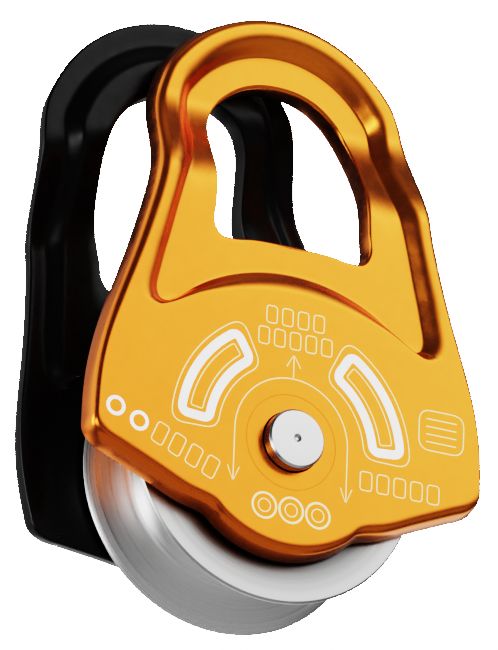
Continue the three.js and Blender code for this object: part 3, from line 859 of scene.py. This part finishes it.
def make_pieces(looks):
    """Every visible piece; the cage and the circlip keep their CAD meshes."""
    front = side_plate("front_plate_pressing", True, FRONT_BORE, FRONT_JOGGLE, FRONT_HEAD_RISE)
    finish_piece(front, "front_side", "front_plate_anodised", looks["gold"], "front_side_plate")
    rear = side_plate("rear_plate_pressing", False, REAR_BORE, REAR_JOGGLE, REAR_HEAD_RISE, PLATE_SWING)
    finish_piece(rear, "rear_side", "rear_plate_anodised", looks["black"], "rear_side_plate")
    thin, bold, seam = front_marks()
    finish_piece(thin, "front_side", "front_plate_anodised", looks["mark_thin"])
    finish_piece(bold, "front_side", "front_plate_anodised", looks["mark_bold"])
    finish_piece(seam, "front_side", "front_plate_anodised", looks["seam"])

    # name, section, rounding of its corners in mm, body, slot, look and CAD node
    turned_parts = [
        ("sheave_wheel", sheave_section(), 0.06,
         "sheave", "sheave_turned", "sheave", "sheave"),
        ("axle_shaft", axle_section(), 0.05,
         "front_side", "axle_steel", "axle", "axle"),
        ("inner_race_ring", race_section(*INNER_RACE), 0.1,
         "front_side", "bearing_steel", "race", "bearing_inner_race"),
        ("outer_race_ring", race_section(*OUTER_RACE), 0.1,
         "sheave", "bearing_steel", "race", "bearing_outer_race"),
        ("front_spacer_sleeve", sleeve_section(*FRONT_SPACER), 0.15,
         "front_side", "washer_steel", "washer", "front_spacer"),
        ("rear_spacer_sleeve", sleeve_section(*REAR_SPACER), 0.15,
         "front_side", "washer_steel", "washer", "rear_spacer"),
        ("thrust_washer_ring", sleeve_section(*THRUST_WASHER), 0.12,
         "front_side", "washer_polymer", "acetal", "rear_thrust_washer"),
        ("outer_washer_ring", sleeve_section(*OUTER_WASHER), 0.15,
         "front_side", "washer_steel", "washer", "rear_outer_washer"),
        ("bush_ring", sleeve_section(*BUSH), 0.12,
         "rear_side", "bush_bronze", "bronze", "rear_plate_bush"),
        ("front_seal_ring", seal_section(-1), 0.05,
         "sheave", "seal_rubber", "rubber", "front_bearing_seal"),
        ("rear_seal_ring", seal_section(1), 0.05,
         "sheave", "seal_rubber", "rubber", "rear_bearing_seal"),
    ]
    for name, section, rounding, body, slot, look, cad_node in turned_parts:
        finish_piece(turned(name, section, rounding=rounding), body, slot, looks[look], cad_node)

    for i in range(BALL_COUNT):
        cad_node = f"bearing_ball_{i + 1}"
        finish_piece(ball(f"ball_{i + 1}", cad_node), "cage", "ball_steel", looks["ball"], cad_node)

    for cad_node, look in (("bearing_cage", "cage"), ("bearing_circlip", "washer")):
        mesh_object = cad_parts[cad_node]
        mesh_object.data.materials.clear()
        mesh_object.data.materials.append(looks[look])


# ---- Studio ----

AZIMUTH, ELEVATION, ROLL = -26.146, -20.72, 2.149       # degrees
DISTANCE = 1.0                                          # metres
SENSOR_WIDTH, LENS = 36.0, 498.6
AIM_ACROSS, AIM_UP = -0.624, 15.975                     # from the axle to the middle of the view, mm


def view_axes():
    """The camera's axes: across and up with its roll, back, and across and up without roll."""
    a, e = math.radians(AZIMUTH), math.radians(ELEVATION)
    back = Vector((math.sin(a) * math.cos(e), -math.cos(a) * math.cos(e), math.sin(e)))
    right = (-back).cross(Vector((0, 0, 1))).normalized()
    up = right.cross(-back)
    r = math.radians(ROLL)
    across = right * math.cos(r) + up * math.sin(r)
    upward = up * math.cos(r) - right * math.sin(r)
    return across, upward, back, right, up


def make_camera():
    """A long lens from below on the left."""
    across, upward, back, right, up = view_axes()
    data = bpy.data.cameras.new("camera")
    data.sensor_width = SENSOR_WIDTH
    data.lens = LENS
    camera = bpy.data.objects.new("camera", data)
    bpy.context.scene.collection.objects.link(camera)
    place = AXLE + back * DISTANCE + (right * AIM_ACROSS + up * AIM_UP) * MM
    turn = Matrix((across, upward, back)).transposed().to_4x4()
    camera.matrix_world = Matrix.Translation(place) @ turn
    bpy.context.scene.camera = camera


# Soft lights round the object: low and high edge in azimuth (from the front towards the right) and in
# elevation, how softly the two kinds of edge fade, all in degrees, and the strength.
SOFT_LIGHTS = [
    ((-2, 72), (4, 51), 19, 16, 1.52),          # large key softbox, front right
    ((8, 52), (28, 44), 10, 9, 0.5),            # its brighter middle
    ((-112, -84), (-18, 12), 6, 6, 4.5),        # strip on the left, level with the object
    ((-140, -92), (-25, 48), 10, 12, 0.95),     # its halo
    ((-200, -128), (-10, 45), 12, 14, 0.25),    # wall behind left
    ((112, 200), (-45, -4), 15, 10, 1.0),       # low panel behind right
    ((-200, 200), (72, 100), 20, 14, 0.2),      # ceiling
    ((-172, -144), (-32, -14), 7, 7, 0.8),      # small low light behind left
    ((-25, 75), (-65, -16), 20, 12, 0.24),      # bounce from the table in front
    ((-72, -40), (-22, -6), 9, 8, 4.6),         # low reflector, front left
]
AMBIENT = (0.068, 0.069, 0.071)
BACKDROP = 60.0             # what the camera sees behind the object, far past white


def make_world():
    """A dark studio with soft lights; the camera itself sees plain white behind the object."""
    world = bpy.data.worlds.new("studio")
    world.use_nodes = True
    bpy.context.scene.world = world
    tree = world.node_tree
    background = tree.nodes["Background"]
    source = node(tree, "ShaderNodeTexCoord")
    split = node(tree, "ShaderNodeSeparateXYZ")
    tree.links.new(source.outputs["Generated"], split.inputs[0])
    to_front = math_node(tree, "MULTIPLY", split.outputs["Y"], -1.0)
    azimuth = math_node(tree, "ARCTAN2", split.outputs["X"], to_front)
    elevation = math_node(tree, "ARCSINE", split.outputs["Z"])
    total = None
    for azimuths, elevations, side_fade, upright_fade, strength in SOFT_LIGHTS:
        across = soft_window(tree, azimuth, azimuths, side_fade)
        upright = soft_window(tree, elevation, elevations, upright_fade)
        both = math_node(tree, "MULTIPLY", across, upright)
        light = math_node(tree, "MULTIPLY", both, strength)
        total = math_node(tree, "ADD", total, light) if total else light
    studio = node(tree, "ShaderNodeVectorMath", operation="ADD")
    tree.links.new(total, studio.inputs[0])
    studio.inputs[1].default_value = AMBIENT
    path = node(tree, "ShaderNodeLightPath")
    pick = node(tree, "ShaderNodeMix", data_type="VECTOR")
    tree.links.new(path.outputs["Is Camera Ray"], pick.inputs["Factor"])
    tree.links.new(studio.outputs[0], pick.inputs["A"])
    pick.inputs["B"].default_value = (BACKDROP, BACKDROP, BACKDROP)
    tree.links.new(pick.outputs["Result"], background.inputs["Color"])


def soft_window(tree, value, edges, fade):
    """1 between two edges and 0 outside them, with soft borders, all in degrees."""
    low, high = edges
    rise = smooth_range(tree, value, low - fade, low + fade)
    fall = smooth_range(tree, value, high + fade, high - fade)
    return math_node(tree, "MULTIPLY", rise, fall)


def smooth_range(tree, value, start, end):
    """0 at start and 1 at end, in degrees, whichever is the larger."""
    made = node(tree, "ShaderNodeMapRange", interpolation_type="SMOOTHSTEP")
    tree.links.new(value, made.inputs["Value"])
    flip = start > end
    low, high = sorted((math.radians(start), math.radians(end)))
    made.inputs["From Min"].default_value = low
    made.inputs["From Max"].default_value = high
    made.inputs["To Min"].default_value = 1.0 if flip else 0.0
    made.inputs["To Max"].default_value = 0.0 if flip else 1.0
    return made.outputs["Result"]


def make_floor():
    """A round pale floor well below the hanging pulley."""
    radius, drop = 0.42, 0.45
    mesh = bmesh.new()
    bmesh.ops.create_circle(mesh, cap_ends=True, segments=96, radius=radius)
    data = bpy.data.meshes.new("floor")
    mesh.to_mesh(data)
    mesh.free()
    floor = bpy.data.objects.new("floor", data)
    floor.location = (0, 0, cad_low.z - drop)
    bpy.context.scene.collection.objects.link(floor)
    paint, _, _ = material("floor_paint", (0.85, 0.85, 0.85), 0.8, 0.0)
    data.materials.append(paint)


def set_film():
    """Tones as a contrasty film shows them."""
    view = bpy.context.scene.view_settings
    view.view_transform = "Filmic"
    view.look = "Very High Contrast"
    view.exposure = 0.0


looks = make_materials()
make_pieces(looks)
make_camera()
make_world()
make_floor()
set_film()
